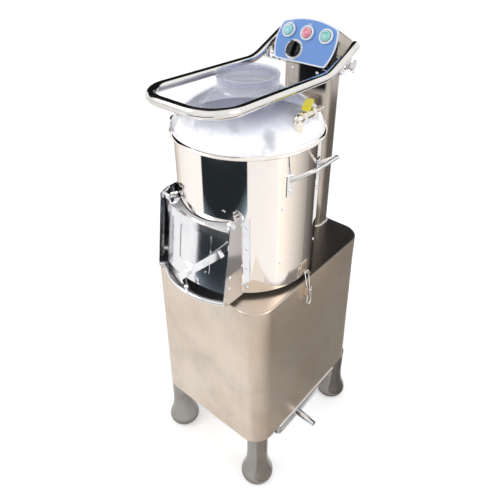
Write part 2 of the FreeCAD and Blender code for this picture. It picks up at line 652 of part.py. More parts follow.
def build_rail(solid_head):
    points = [V(rail_half, rail_end_y, rail_end_z), V(rail_half, rail_bend_y, rail_bend_z),
              V(rail_half, rail_front_y, rail_front_z), V(-rail_half, rail_front_y, rail_front_z),
              V(-rail_half, rail_bend_y, rail_bend_z), V(-rail_half, rail_end_y, rail_end_z)]
    radii = [rail_bend_radius, rail_corner, rail_corner, rail_bend_radius]
    path = bent_path(points, radii)
    outer = sweep(path, rail_tube)
    lugs = []
    for side in (-1, 1):
        lug = side_prism([(pivot_y - 11, pivot_z), (pivot_y - 12, pivot_z + 16), (pivot_y + 12, pivot_z + 24),
                          (pivot_y + 11, pivot_z)], side * rail_half - 2.5, side * rail_half + 2.5)
        eye = cyl(11.0, V(side * rail_half - 2.5, pivot_y, pivot_z), X_AXIS, 5.0)
        lugs.append(lug.fuse(eye))
    arm = (points[0] - points[1]).normalize()
    rail = fuse_all([outer] + lugs).cut(sweep(path, rail_tube - rail_wall))
    for end in (points[0], points[-1]):
        plug = cyl(rail_tube - 1.0, end - arm * 3, arm, 3)
        dome = Part.makeCone(rail_tube, rail_tube - 3.0, 3.0, end, arm)
        rail = rail.fuse(plug).fuse(dome)
    rail = rail.removeSplitter()
    rail = rail.cut(cyl(4.0 + FIT, V(-150, pivot_y, pivot_z), X_AXIS, 300))
    keep("safety_rail", rail)

    bolts = []
    for side, name in ((1, "right"), (-1, "left")):
        lug_face = rail_half - 2.5 - GAP
        boss = cyl(11.0, V(60, pivot_y, pivot_z), X_AXIS, lug_face - 60)
        flange = cyl(17.0, V(60, pivot_y, pivot_z), X_AXIS, 23.0)
        bracket = boss.fuse(flange).cut(solid_head)
        bracket = max(bracket.Solids, key=lambda piece: piece.Volume)
        bracket = bracket.cut(cyl(4.0, V(50, pivot_y, pivot_z), X_AXIS, 80))
        foot = box(60, 83, 131, 160, 1050, 1053).fuse(box(60, rail_half + 8, 131, 147, 1050, 1053))
        foot = max(foot.cut(solid_head).Solids, key=lambda piece: piece.Volume)
        pad = cyl(7.0, V(rail_half, 139, 1053), Z_AXIS, 20)
        pad = pad.cut(cyl(rail_tube + GAP, V(rail_half, rail_bend_y, rail_bend_z) - arm * 60, arm, 240))
        pad = min(pad.Solids, key=lambda piece: piece.BoundBox.ZMin)
        bracket = fuse_all([bracket, foot, pad])
        bolt = cyl(4.0, V(84, pivot_y, pivot_z), X_AXIS, rail_half + 12 - 84)
        nut = cyl(7.0, V(rail_half + 2.5 + GAP, pivot_y, pivot_z), X_AXIS, 8.5)
        wings = box(rail_half + 11, rail_half + 20, pivot_y - 15, pivot_y + 15, pivot_z - 1.5, pivot_z + 1.5)
        wings = wings.makeFillet(4.0, [e for e in wings.Edges if abs(e.tangentAt(e.FirstParameter).z) > 0.9])
        wings.rotate(V(0, pivot_y, pivot_z), X_AXIS, 60)
        thumb = fuse_all([bolt, nut, wings])
        keep("rail_bracket_%s" % name, bracket if side > 0 else mirrored_x(bracket))
        bolts.append(thumb if side > 0 else mirrored_x(thumb))
    keep("rail_pivot_bolts", Part.makeCompound(bolts))


# Lid and water valve

def build_lid():
    w = lid_wall
    top = neck_radius + 1
    dome = spin([(lid_flange, lid_base), ((lid_flange, lid_base + 5),), ((160.5, lid_base + 7),),
                 ((158.5, 985), (152.5, 996), (141, 1006), (122, 1018), (103, 1029), (84, 1040), (73, 1046.5)),
                 ((top + 1.5, 1052), (top, 1060)), ((top, neck_top),), ((top - w, neck_top),), ((top - w, 1058),),
                 ((top - w + 1.5, 1050), (72, 1043.5)),
                 ((84, 1036.7), (102, 1026), (121, 1014.7), (139, 1003.4), (150, 994), (155.5, 984), (157.5, lid_base + 7)),
                 ((157.5, lid_base),), ((lid_flange, lid_base),)])
    dome = dome.cut(cyl(6.2, V(valve_x, valve_y, 980), Z_AXIS, 60))
    keep("lid_dome", dome)

    cap = spin([(0, 1064), ((8, 1064),), ((32, 1065.5), (54, 1070)), ((60.7, 1072),), ((60.7, 1062),), ((62.4, 1062),),
                ((62.4, neck_top + 0.4),), ((neck_radius + 2, neck_top + 0.4),), ((neck_radius + 2, neck_top + 4),),
                ((62.0, neck_top + 5), (55, neck_top + 2)), ((32, 1068.5), (8, 1067)), ((0, 1067),), ((0, 1064),)])
    keep("feed_cap", cap)

    nipple = cyl(6.0, V(valve_x, valve_y, 985), Z_AXIS, valve_z - 8 - 985)
    flange = hexagon(19.0, V(valve_x, valve_y, 994), Z_AXIS, valve_z - 999).cut(parts["lid_dome"])
    flange = max(flange.Solids, key=lambda piece: piece.BoundBox.ZMax)
    elbow = Part.makeSphere(9.5, V(valve_x, valve_y, valve_z)).fuse(cyl(9.0, V(valve_x, valve_y, valve_z - 9), Z_AXIS, 9))
    barrel = cyl(9.0, V(valve_x, valve_y, valve_z), Y_AXIS, 46)
    hex_in = hexagon(20.0, V(valve_x, valve_y + 8, valve_z), Y_AXIS, 9.0)
    hex_out = hexagon(20.0, V(valve_x, valve_y + 40, valve_z), Y_AXIS, 11.0)
    tower = cyl(5.0, V(valve_x, valve_y + 28, valve_z + 5), Z_AXIS, 8)
    body = fuse_all([nipple, flange, elbow, barrel, hex_in, hex_out, tower])
    body = body.cut(cyl(4.0, V(valve_x, valve_y, valve_z), Y_AXIS, 60))
    body = body.cut(cyl(4.0, V(valve_x, valve_y, 980), Z_AXIS, valve_z - 980))
    body = body.cut(Part.makeSphere(7.2, V(valve_x, valve_y + 28, valve_z)))
    body = body.cut(cyl(2.5 + FIT, V(valve_x, valve_y + 28, valve_z), Z_AXIS, 30))
    keep("valve_body", body)

    tail = [cyl(5.2, V(valve_x, valve_y + 51, valve_z), Y_AXIS, 8)]
    for step in range(3):
        tail.append(Part.makeCone(6.2, 5.0, 8.0, V(valve_x, valve_y + 59 + 8 * step, valve_z), Y_AXIS))
    barb = fuse_all(tail).cut(cyl(3.4, V(valve_x, valve_y + 45, valve_z), Y_AXIS, 60))
    keep("hose_barb", barb)

    ball = Part.makeSphere(7.0, V(valve_x, valve_y + 28, valve_z)).cut(
        cyl(4.0, V(valve_x, valve_y + 18, valve_z), Y_AXIS, 20))
    stem = cyl(2.5, V(valve_x, valve_y + 28, valve_z + 5), Z_AXIS, 13)
    low = valve_z + 14.0
    grip = rounded(valve_x - 8, valve_x + 8, valve_y + 13, valve_y + 63, low, low + 7.5, 3.0)
    grip.rotate(V(valve_x, valve_y + 28, low), Z_AXIS, 25)
    keep("valve_handle", fuse_all([ball, stem, grip]))


# Drive: disc, shaft, bearings, pulleys, belt and motor

def build_drive():
    plate = spin_poly([(shaft_radius, disc_z), (disc_radius, disc_z), (disc_radius, disc_z + 5),
                       (shaft_radius, disc_z + 5)])
    waves = []
    for turn in range(3):
        angle = 20.0 + 120.0 * turn
        out = drum_point(angle, 1.0, 0) - V(0, drum_y, 0)
        ridge = Part.makeCone(9.0, 15.0, disc_radius - 34.0, drum_point(angle, 32.0, disc_z + 3), out)
        waves.append(ridge.common(box(-200, 200, -260, 160, disc_z + 4, disc_z + 40)))
    collar = tube(22, shaft_radius, V(0, drum_y, disc_z + 5), Z_AXIS, 9.0)
    keep("peeling_disc", fuse_all([plate, collar] + waves))

    shaft = cyl(shaft_radius, V(0, drum_y, pulley_z - 6), Z_AXIS, disc_z + 14 - pulley_z + 6)
    keep("main_shaft", shaft)
    nut_z = disc_z + 14
    nut = spin([(0, nut_z), ((15.0, nut_z),), ((15, nut_z + 4),), ((11.5, nut_z + 11), (4, nut_z + 14)),
                ((0, nut_z + 14),), ((0, nut_z),)])
    keep("disc_nut", nut)

    housing = spin_poly([(21, 566), (40, 566), (40, 605), (60, 605), (60, cabinet_top - sheet), (40, cabinet_top - sheet),
                         (40, 629), (21, 629)])
    seal = spin_poly([(shaft_radius + 0.08, 628.5), (23.5, 628.5), (23.5, 641), (20, 641), (shaft_radius + 0.08, 636)])
    keep("bearing_housing", housing.fuse(seal).removeSplitter())
    rings = []
    for z in (568, 606):
        rings.append(tube(20.95, shaft_radius + 0.05, V(0, drum_y, z), Z_AXIS, 15))
    keep("shaft_bearings", Part.makeCompound(rings))

    grooved = [(shaft_radius, pulley_z), (30, pulley_z), (30, pulley_z + 6), (74, pulley_z + 6), (74, pulley_z),
               (pulley_radius, pulley_z), (pulley_radius, pulley_z + pulley_height), (74, pulley_z + pulley_height),
               (74, pulley_z + 14), (30, pulley_z + 14), (30, pulley_z + pulley_height),
               (shaft_radius, pulley_z + pulley_height)]
    wheel = spin_poly(grooved)
    for turn in range(5):
        hole = drum_point(72.0 * turn, 52.0, pulley_z - 5)
        wheel = wheel.cut(cyl(13.0, hole, Z_AXIS, 40))
    keep("large_pulley", wheel)

    small = cyl(small_pulley_radius, V(0, motor_y, pulley_z), Z_AXIS, pulley_height)
    rotor = cyl(9.0, V(0, motor_y, 500.3), Z_AXIS, 54)
    keep("motor_pulley", small.fuse(rotor).removeSplitter())

    gap = motor_y - drum_y
    lean = math.asin((pulley_radius - small_pulley_radius) / gap)
    belt_low = pulley_z + 3.0
    belt_high = 14.0

    def belt_block(extra):
        big = pulley_radius + extra
        little = small_pulley_radius + extra
        c, s = math.cos(lean), math.sin(lean)
        corners = [V(big * c, drum_y + big * s, belt_low), V(little * c, motor_y + little * s, belt_low),
                   V(-little * c, motor_y + little * s, belt_low), V(-big * c, drum_y + big * s, belt_low)]
        middle = poly_prism(corners, V(0, 0, belt_high))
        first = cyl(big, V(0, drum_y, belt_low), Z_AXIS, belt_high)
        second = cyl(little, V(0, motor_y, belt_low), Z_AXIS, belt_high)
        return first.fuse(middle).fuse(second)

    keep("drive_belt", belt_block(4.2).cut(belt_block(GAP)))

    can = cyl(motor_radius, V(0, motor_y, 330), Z_AXIS, 170)
    for turn in range(24):
        fin = box(motor_radius - 4, motor_radius + 1, -1.6, 1.6, 345, 485)
        fin.rotate(V(0, 0, 0), Z_AXIS, 15.0 * turn)
        fin.translate(V(0, motor_y, 0))
        can = can.cut(fin) if turn % 6 else can
    hood = spin([(0, 300), ((45, 300),), ((57, 304), (59, 316)), ((59, 331),), ((0, 331),), ((0, 300),)], 0, motor_y)
    terminal = rounded(motor_radius - 8, motor_radius + 30, motor_y - 35, motor_y + 35, 395, 460, 5)
    keep("motor_body", fuse_all([can, hood, terminal]))

    mount = box(-78, 78, 52, 206, 500.2, 506.2).cut(cyl(20, V(0, motor_y, 490), Z_AXIS, 30))
    left = box(-78, -74, 70, 206, 506.2, cabinet_top - sheet)
    right = box(74, 78, 70, 206, 506.2, cabinet_top - sheet)
    foot_left = box(-96, -78, 70, 206, cabinet_top - sheet - 4, cabinet_top - sheet)
    foot_right = box(78, 96, 70, 206, cabinet_top - sheet - 4, cabinet_top - sheet)
    keep("motor_bracket", fuse_all([mount, left, right, foot_left, foot_right]))


# Drain, tray and electric inlet

def build_services():
    pan_x = 160.0
    pan = rounded(-60, pan_x, -112, 96, tray_z - tray_depth, tray_z + 6, 14)
    hollow = rounded(-58.4, pan_x - 1.6, -110.4, 94.4, tray_z - tray_depth + 1.6, tray_z + 20, 12.4)
    flange = rounded(-72, skirt_half_width + 3.0, -138, 132, tray_z, tray_z + 6, 9)
    front_edge = [e for e in flange.Edges if e.BoundBox.ZLength < 0.01]
    flange = flange.makeFillet(2.4, front_edge)
    tray = pan.fuse(flange).removeSplitter().cut(hollow)
    tray = tray.cut(cyl(10.5, V(pan_x - 10, spigot_y, spigot_z), X_AXIS, 20))
    slope = V(1, 0, -0.075).normalize()
    start = V(pan_x - 3, spigot_y, spigot_z)
    spigot = Part.makeCone(10.4, 7.4, 70.0, start, slope)
    spigot = spigot.fuse(cyl(13.0, start + slope * 3.2, slope, 3.0))
    spigot = spigot.cut(cyl(5.6, start - slope * 2, slope, 80.0))
    keep("drain_tray", tray.fuse(spigot).removeSplitter())

    pipe = tube(pipe_radius, pipe_radius - 1.6, V(pipe_x, pipe_y, 168), Z_AXIS, 635 - 168)
    collar = tube(21.0, pipe_radius - 0.5, V(pipe_x, pipe_y, 622.5), Z_AXIS, 10.2)
    keep("drain_pipe", pipe.fuse(collar).removeSplitter())

    gland = tube(8.0, 4.5, V(130, cabinet_back - 8, 205), Y_AXIS, 12)
    nut = hexagon(19.0, V(130, cabinet_back, 205), Y_AXIS, 6.0).cut(cyl(8.0, V(130, 190, 205), Y_AXIS, 60))
    dome = tube(8.0, 4.5, V(130, cabinet_back + 4, 205), Y_AXIS, 12)
    keep("cable_gland", fuse_all([gland, nut, dome]))
    block = box(-158, -118, -60, 20, 300, 380)
    rail = box(-171.5, -157, -80, 40, 322, 357)
    keep("contactor", fuse_all([block, rail]))


build_cabinet()
build_feet()
build_drum()
build_chute()
build_door()
build_handles()
build_latches()
head_solid = build_head()
build_rail(head_solid)
build_lid()
build_drive()
build_services()

os.makedirs("parts", exist_ok=True)
for name, shape in parts.items():
    shape.exportStep("parts/%s.step" % name)
    print("%-24s solids %2d valid %s volume %.1f cm3" % (name, len(shape.Solids), shape.isValid(), shape.Volume / 1000.0))
print("nodes", len(parts))
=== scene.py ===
import json
import math

import bmesh
import bpy
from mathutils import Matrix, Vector


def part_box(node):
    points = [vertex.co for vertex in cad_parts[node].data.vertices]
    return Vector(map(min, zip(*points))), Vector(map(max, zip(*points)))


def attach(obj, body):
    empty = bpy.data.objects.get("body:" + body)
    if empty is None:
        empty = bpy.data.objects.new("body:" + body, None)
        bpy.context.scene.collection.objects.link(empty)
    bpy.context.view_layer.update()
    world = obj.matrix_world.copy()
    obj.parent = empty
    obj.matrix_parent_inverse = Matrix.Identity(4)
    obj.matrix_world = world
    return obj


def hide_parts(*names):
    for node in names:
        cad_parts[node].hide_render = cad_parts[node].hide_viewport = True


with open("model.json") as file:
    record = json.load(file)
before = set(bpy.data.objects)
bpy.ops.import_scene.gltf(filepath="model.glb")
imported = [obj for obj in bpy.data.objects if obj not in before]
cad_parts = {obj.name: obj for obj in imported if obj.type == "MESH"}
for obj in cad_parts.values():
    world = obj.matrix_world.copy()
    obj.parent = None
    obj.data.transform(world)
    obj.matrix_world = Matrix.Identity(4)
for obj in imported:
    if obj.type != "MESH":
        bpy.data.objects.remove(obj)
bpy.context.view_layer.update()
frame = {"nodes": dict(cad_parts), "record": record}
BODY_OF = {node: body for body, group in frame["record"]["behaviour"]["bodies"].items() for node in group}
SLOT_OF = {part["node"]: part["material_slot"] for part in frame["record"]["subparts"]}

CABINET_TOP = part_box("cabinet_shell")[1][2]
COLUMN_LOW, COLUMN_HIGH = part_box("column")
DRUM_Y = -0.054
DRUM_R = 0.160
PLATE_LEFT, PLATE_RIGHT = -0.112, 0.096
SHEET_TONES = ((0.80, 0.70, 0.60, 1.0), (0.72, 0.60, 0.49, 1.0), (0.46, 0.42, 0.37, 1.0))
FASCIA_LOW = Vector((0, 0.1253, 1.0577))
FASCIA_LEAN = math.radians(27.9)
FASCIA_UP = Vector((0, math.sin(FASCIA_LEAN), math.cos(FASCIA_LEAN)))
FASCIA_OUT = Vector((0, -math.cos(FASCIA_LEAN), math.sin(FASCIA_LEAN)))


# Shader expressions

class Value:
    """One socket of a material's node tree, with arithmetic that adds Math nodes."""

    def __init__(self, mat, socket):
        self.mat, self.socket = mat, socket

    def _maths(self, operation, a, b):
        return self.mat.node("ShaderNodeMath", {"operation": operation}, {0: a, 1: b})

    def __add__(self, other):
        return self._maths("ADD", self, other)

    def __sub__(self, other):
        return self._maths("SUBTRACT", self, other)

    def __mul__(self, other):
        return self._maths("MULTIPLY", self, other)

    def __rsub__(self, other):
        return self._maths("SUBTRACT", other, self)

    __radd__ = __add__
    __rmul__ = __mul__

    def ramp(self, low, high):
        """0 at low and 1 at high, smooth between."""
        return self.mat.node("ShaderNodeMapRange", {"interpolation_type": "SMOOTHSTEP"},
                             {"Value": self, "From Min": low, "From Max": high})


class Finish:
    """A material whose nodes are made by name."""

    def __init__(self, name):
        self.material = bpy.data.materials.new(name)
        self.material.use_nodes = True
        self.tree = self.material.node_tree
        self.shader = self.tree.nodes["Principled BSDF"]
        self.place = self.node("ShaderNodeTexCoord", output="Object")

    def node(self, kind, settings=None, inputs=None, output=0):
        made = self.tree.nodes.new(kind)
        for key, value in (settings or {}).items():
            setattr(made, key, value)
        for key, value in (inputs or {}).items():
            self.feed(made.inputs[key], value)
        return Value(self, made.outputs[output])

    def feed(self, socket, value):
        if isinstance(value, Value):
            self.tree.links.new(value.socket, socket)
        else:
            socket.default_value = value

    def set(self, **values):
        for key, value in values.items():
            self.feed(self.shader.inputs[key.replace("_", " ")], value)
        return self

    def stretched(self, sx, sy, sz):
        return self.node("ShaderNodeVectorMath", {"operation": "MULTIPLY"}, {0: self.place, 1: (sx, sy, sz)})

    def noise(self, scale, detail=3.0, roughness=0.5, along=None):
        return self.node("ShaderNodeTexNoise", {}, {"Vector": along or self.place, "Scale": scale,
                                                    "Detail": detail, "Roughness": roughness})

    def axis(self, index):
        return self.node("ShaderNodeSeparateXYZ", {}, {0: self.place}, output=index)

    def blend(self, factor, a, b):
        made = self.tree.nodes.new("ShaderNodeMix")
        made.data_type = "RGBA"
        self.feed(made.inputs["Factor"], factor)
        self.feed(made.inputs[6], a)
        self.feed(made.inputs[7], b)
        return Value(self, made.outputs[2])

    def bump(self, height, strength, distance):
        self.set(Normal=self.node("ShaderNodeBump", {}, {"Height": height, "Strength": strength,
                                                         "Distance": distance}))
        return self


def rgb(r, g, b):
    return (r, g, b, 1.0)


def brushed_finish(name, pale, warm, dark, grain=(900, 900, 14), rough=0.34, dark_low=None, strength=0.12):
    """Satin sheet metal, brushed along its grain, with soft uneven tone."""
    f = Finish(name)
    lines = f.noise(1.0, 4, 0.6, f.stretched(*grain))
    fine = f.noise(1.0, 2, 0.5, f.stretched(*(g * 3.1 for g in grain)))
    clouds = f.noise(4.2, 3, 0.55).ramp(0.34, 0.66)
    patches = f.noise(11.0, 4, 0.6).ramp(0.42, 0.75)
    tone = f.blend(clouds, pale, warm)
    tone = f.blend(patches * 0.3 + lines.ramp(0.35, 0.75) * 0.22, tone, dark)
    if dark_low:
        tone = f.blend(f.axis(2).ramp(*dark_low), tone, dark)
    f.set(Base_Color=tone, Metallic=0.93, Roughness=lines * 0.16 + patches * 0.07 + (rough - 0.1))
    return f.bump(lines + fine * 0.5, strength, 0.0004)


def painted_shade_column(name):
    """The column's brushed sheet, with painted shade and reflection: dark where the head hangs over it."""
    f = brushed_finish(name, rgb(0.60, 0.55, 0.50), rgb(0.48, 0.43, 0.37), rgb(0.20, 0.19, 0.175), rough=0.22)
    bare = Value(f, f.shader.inputs["Base Color"].links[0].from_socket)
    # Painted shade and reflection: a near-black patch at the top, under the head.
    painted_shade_mask = f.axis(2).ramp(0.985, 1.004) * f.axis(0).ramp(-0.022, -0.012) * (1 - f.axis(1).ramp(0.154, 0.158))
    return f.set(Base_Color=f.blend(painted_shade_mask, bare, rgb(0.012, 0.012, 0.013)))


def painted_shade_deck(name):
    """The cabinet's brushed sheet, with painted shade and reflection: dark on top where the drum and the
    column stand over it.
    """
    f = brushed_finish(name, *SHEET_TONES, rough=0.32)
    bare = Value(f, f.shader.inputs["Base Color"].links[0].from_socket)
    # Painted shade and reflection: the top face darkens towards the back.
    painted_shade_mask = f.axis(2).ramp(CABINET_TOP - 0.003, CABINET_TOP - 0.001) * f.axis(1).ramp(-0.20, 0.02)
    return f.set(Base_Color=f.blend(painted_shade_mask * 0.85, bare, rgb(0.05, 0.05, 0.048)))


def polished_finish(name, tint, smudge_and_reflection, rough=0.07, smudge_rough=0.16, scratch=0.05, dents=0.02):
    """Mirror polished steel with faint wipe marks, hairlines and a slow ripple."""
    f = Finish(name)
    wipes = f.noise(9.0, 5, 0.62, f.stretched(1.0, 1.0, 0.45)).ramp(0.48, 0.72)
    hair = f.noise(1.0, 2, 0.5, f.stretched(240, 240, 1500))
    ripple = f.noise(16.0, 2, 0.5)
    f.set(Base_Color=f.blend(wipes * 0.5, tint, smudge_and_reflection), Metallic=1.0,
          Roughness=wipes * smudge_rough + hair.ramp(0.55, 0.8) * scratch + rough)
    return f.bump(ripple + hair * 0.02, dents, 0.004)


def cast_finish(name, tint, dark, rough=0.2):
    """A sand casting that has been polished on its high places."""
    f = Finish(name)
    skin = f.noise(160.0, 4, 0.62)
    waves = f.noise(22.0, 2, 0.5)
    pits = f.node("ShaderNodeTexVoronoi", {}, {"Vector": f.place, "Scale": 420.0}).ramp(0.0, 0.22)
    f.set(Base_Color=f.blend(skin.ramp(0.5, 0.72) * 0.35, tint, dark), Metallic=1.0,
          Roughness=skin * 0.12 + (1 - pits) * 0.2 + rough)
    return f.bump(skin * 0.35 + waves + pits * 0.15, 0.10, 0.0016)


def moulded_finish(name, tone, worn, rough=0.28, grain=700.0, coat=0.0, metallic=0.0, shine=0.5):
    """A moulded or enamelled surface with fine grain and light rub marks."""
    f = Finish(name)
    speck = f.noise(grain, 3, 0.6)
    rub = f.noise(26.0, 5, 0.65).ramp(0.55, 0.8)
    f.set(Base_Color=f.blend(rub * 0.35 + speck * 0.12, tone, worn), Metallic=metallic,
          Roughness=speck * 0.10 + rub * 0.14 + rough, Coat_Weight=coat, Specular_IOR_Level=shine)
    return f.bump(speck, 0.06, 0.0002)


def clear_finish(name, tint, milky_and_highlight, low, high, thin, thick):
    """Clear plastic: see-through above, milkier and wiped towards the skirt, where it also glows by its own
    tone as a painted highlight and carries grey painted reflections.
    """
    f = Finish(name)
    wipes = f.noise(13.0, 5, 0.6).ramp(0.45, 0.78)
    streaks = f.noise(1.0, 3, 0.55, f.stretched(60, 60, 9)).ramp(0.5, 0.8)
    skirt = 1 - f.axis(2).ramp(low, high)
    cover = skirt * (thick - thin) + wipes * 0.10 + streaks * 0.05 + thin
    # Grey patches on the skirt: painted reflections.
    smudge_and_reflection = f.noise(9.0, 3, 0.55).ramp(0.50, 0.60) * skirt
    tone = f.blend(smudge_and_reflection * 0.7, f.blend(skirt * 0.9 + wipes * 0.12, tint, milky_and_highlight), rgb(0.30, 0.31, 0.36))
    # The skirt's glow is a painted highlight: the lid is no lamp.
    f.set(Base_Color=tone, Roughness=wipes * 0.09 + 0.04, Alpha=cover, Coat_Weight=1.0,
          Specular_IOR_Level=0.8, Coat_Roughness=0.03, Emission_Color=f.blend(skirt, rgb(0, 0, 0), tone),
          Emission_Strength=0.34)
    return f.bump(f.noise(18.0, 2, 0.5), 0.05, 0.003)


def grit_finish(name):
    """Coarse carborundum grit set in resin."""
    f = Finish(name)
    grains = f.node("ShaderNodeTexVoronoi", {}, {"Vector": f.place, "Scale": 700.0})
    tone = f.noise(300.0, 3, 0.7)
    f.set(Base_Color=f.blend(tone.ramp(0.4, 0.7), rgb(0.035, 0.034, 0.036), rgb(0.16, 0.155, 0.15)),
          Roughness=tone * 0.2 + 0.55)
    return f.bump(grains, 0.8, 0.0012)


def rubber_finish(name, tone=rgb(0.015, 0.015, 0.016)):
    f = Finish(name)
    dust = f.noise(60.0, 4, 0.6)
    dusty = f.blend(dust.ramp(0.5, 0.8) * 0.3, tone, rgb(0.09, 0.085, 0.08))
    f.set(Base_Color=dusty, Roughness=dust * 0.25 + 0.5)
    return f.bump(f.noise(900.0, 2, 0.5), 0.15, 0.0003)


def lens_finish(name, tone, glow):
    """A tinted translucent cap, lit from within by its own colour."""
    f = Finish(name)
    depth = f.noise(90.0, 3, 0.5)
    f.set(Base_Color=f.blend(depth.ramp(0.35, 0.7) * 0.5, tone, glow), Roughness=depth * 0.1 + 0.12,
          Coat_Weight=0.8, Emission_Color=f.blend(depth, tone, glow), Emission_Strength=0.12)
    return f.bump(depth, 0.08, 0.001)


FINISH = {
    "brushed_steel": brushed_finish("brushed_steel", *SHEET_TONES, rough=0.32),
    "polished_steel": polished_finish("polished_steel", rgb(0.86, 0.86, 0.88), rgb(0.62, 0.63, 0.66)),
    "foot_steel": brushed_finish("foot_steel", rgb(0.46, 0.455, 0.43), rgb(0.33, 0.31, 0.285),
                                 rgb(0.14, 0.10, 0.085), grain=(60, 60, 1100), rough=0.17,
                                 dark_low=(0.034, 0.004)),
    "cast_aluminium": cast_finish("cast_aluminium", rgb(0.80, 0.80, 0.81), rgb(0.34, 0.34, 0.36)),
    "cast_iron": cast_finish("cast_iron", rgb(0.10, 0.10, 0.11), rgb(0.04, 0.04, 0.045), 0.4),
    "motor_paint": moulded_finish("motor_paint", rgb(0.07, 0.11, 0.15), rgb(0.16, 0.18, 0.20),
                                  0.35, 500.0, 0.2),
    "bearing_steel": polished_finish("bearing_steel", rgb(0.6, 0.6, 0.62), rgb(0.4, 0.38, 0.34), 0.15),
    "abrasive": grit_finish("abrasive"),
    "clear_cover": clear_finish("clear_cover", rgb(0.66, 0.69, 0.88), rgb(0.95, 0.95, 0.97),
                                0.992, 1.036, 0.34, 0.93),
    "black_rubber": rubber_finish("black_rubber"),
    "grey_plastic": moulded_finish("grey_plastic", rgb(0.22, 0.23, 0.24), rgb(0.35, 0.35, 0.34)),
    "black_plastic": moulded_finish("black_plastic", rgb(0.004, 0.004, 0.006), rgb(0.02, 0.02, 0.022),
                                    0.25, 900.0, 0.0, shine=0.18),
    "dial_white": moulded_finish("dial_white", rgb(0.82, 0.84, 0.86), rgb(0.60, 0.62, 0.64), 0.3, 800.0, 0.4),
    "fascia_blue": moulded_finish("fascia_blue", rgb(0.115, 0.30, 0.74), rgb(0.15, 0.35, 0.80),
                                  0.3, 1100.0, 0.15, shine=0.25),
    "green_button": lens_finish("green_button", rgb(0.16, 0.58, 0.52), rgb(0.60, 0.90, 0.86)),
    "cyan_button": lens_finish("cyan_button", rgb(0.22, 0.62, 0.68), rgb(0.66, 0.92, 0.94)),
    "red_button": lens_finish("red_button", rgb(0.80, 0.18, 0.28), rgb(0.98, 0.62, 0.68)),
    "brass": polished_finish("brass", rgb(0.82, 0.78, 0.70), rgb(0.55, 0.47, 0.34), 0.12, 0.2),
    "yellow_grip": moulded_finish("yellow_grip", rgb(0.93, 0.80, 0.0), rgb(0.96, 0.88, 0.12),
                                  0.3, 800.0, 0.3),
}
drum_mirror = polished_finish("drum_mirror", rgb(0.95, 0.89, 0.84), rgb(0.86, 0.78, 0.72),
                              0.06, 0.10, 0.03, 0.012)
door_polish = polished_finish("door_polish", rgb(0.84, 0.84, 0.86), rgb(0.66, 0.66, 0.69),
                              0.13, 0.12, 0.04, 0.05)
rail_mirror = polished_finish("rail_mirror", rgb(0.84, 0.82, 0.79), rgb(0.60, 0.58, 0.55),
                              0.06, 0.12, 0.03, 0.008)
column_brushed_painted_shade = painted_shade_column("column_brushed_painted_shade")
cabinet_brushed_painted_shade = painted_shade_deck("cabinet_brushed_painted_shade")
weld_finish = cast_finish("weld_finish", rgb(0.82, 0.80, 0.76), rgb(0.40, 0.36, 0.30), 0.25)
pale_edge = moulded_finish("pale_edge", rgb(0.70, 0.76, 0.88), rgb(0.82, 0.86, 0.92), 0.25, 900.0, 0.4)
boot_clear = lens_finish("boot_clear", rgb(0.66, 0.76, 0.84), rgb(0.88, 0.93, 0.97))
ink_white = moulded_finish("ink_white", rgb(0.86, 0.88, 0.92), rgb(0.75, 0.78, 0.84), 0.4)
ink_dark = moulded_finish("ink_dark", rgb(0.05, 0.06, 0.09), rgb(0.12, 0.12, 0.14), 0.4)


# Pieces

def add_piece(name, mesh, body, slot, finish=None):
    piece = bpy.data.objects.new(name, mesh)
    bpy.context.scene.collection.objects.link(piece)
    mesh.materials.clear()
    mesh.materials.append((finish or FINISH[slot]).material)
    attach(piece, body)
    return piece


def smooth_faces(mesh, angle=32.0):
    """Smooth shading that keeps edges sharper than the angle."""
    work = bmesh.new()
    work.from_mesh(mesh)
    for face in work.faces:
        face.smooth = True
    limit = math.radians(angle)
    for edge in work.edges:
        edge.smooth = len(edge.link_faces) == 2 and edge.calc_face_angle(math.pi) < limit
    work.to_mesh(mesh)
    work.free()
    return mesh


def mesh_from(work, name, angle=32.0):
    bmesh.ops.remove_doubles(work, verts=work.verts, dist=1e-7)
    bmesh.ops.recalc_face_normals(work, faces=work.faces)
    mesh = bpy.data.meshes.new(name)
    work.to_mesh(mesh)
    work.free()
    return smooth_faces(mesh, angle)


def dressed_copy(node, finish=None, angle=30.0):
    """The solid's own faces, joined up so that round walls shade as round."""
    work = bmesh.new()
    work.from_mesh(frame["nodes"][node].data)
    bmesh.ops.remove_doubles(work, verts=work.verts, dist=2e-6)
    mesh = bpy.data.meshes.new(node + "_skin")
    work.to_mesh(mesh)
    work.free()
    piece = add_piece(node + "_skin", smooth_faces(mesh, angle), BODY_OF[node], SLOT_OF[node], finish)
    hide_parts(node)
    return piece


def spun(name, profile, place, axis, body, slot, finish=None, steps=64, angle=32.0):
    """A closed profile of (radius, height) turned about an axis through a place."""
    turn = Vector(axis).to_track_quat("Z", "Y")
    work = bmesh.new()
    rings = []
    for radius, height in profile:
        if radius < 1e-7:
            rings.append([work.verts.new(turn @ Vector((0, 0, height)) + Vector(place))])
            continue
        ring = []
        for i in range(steps):
            a = 2 * math.pi * i / steps
            around = Vector((radius * math.cos(a), radius * math.sin(a), height))
            ring.append(work.verts.new(turn @ around + Vector(place)))
        rings.append(ring)
    for k in range(len(rings)):
        low, high = rings[k], rings[(k + 1) % len(rings)]
        for i in range(steps):
            j = (i + 1) % steps
            if len(low) == 1 and len(high) == 1:
                break
            if len(low) == 1:
                work.faces.new((low[0], high[i], high[j]))
            elif len(high) == 1:
                work.faces.new((low[i], low[j], high[0]))
            else:
                work.faces.new((low[i], low[j], high[j], high[i]))
    return add_piece(name, mesh_from(work, name, angle), body, slot, finish)


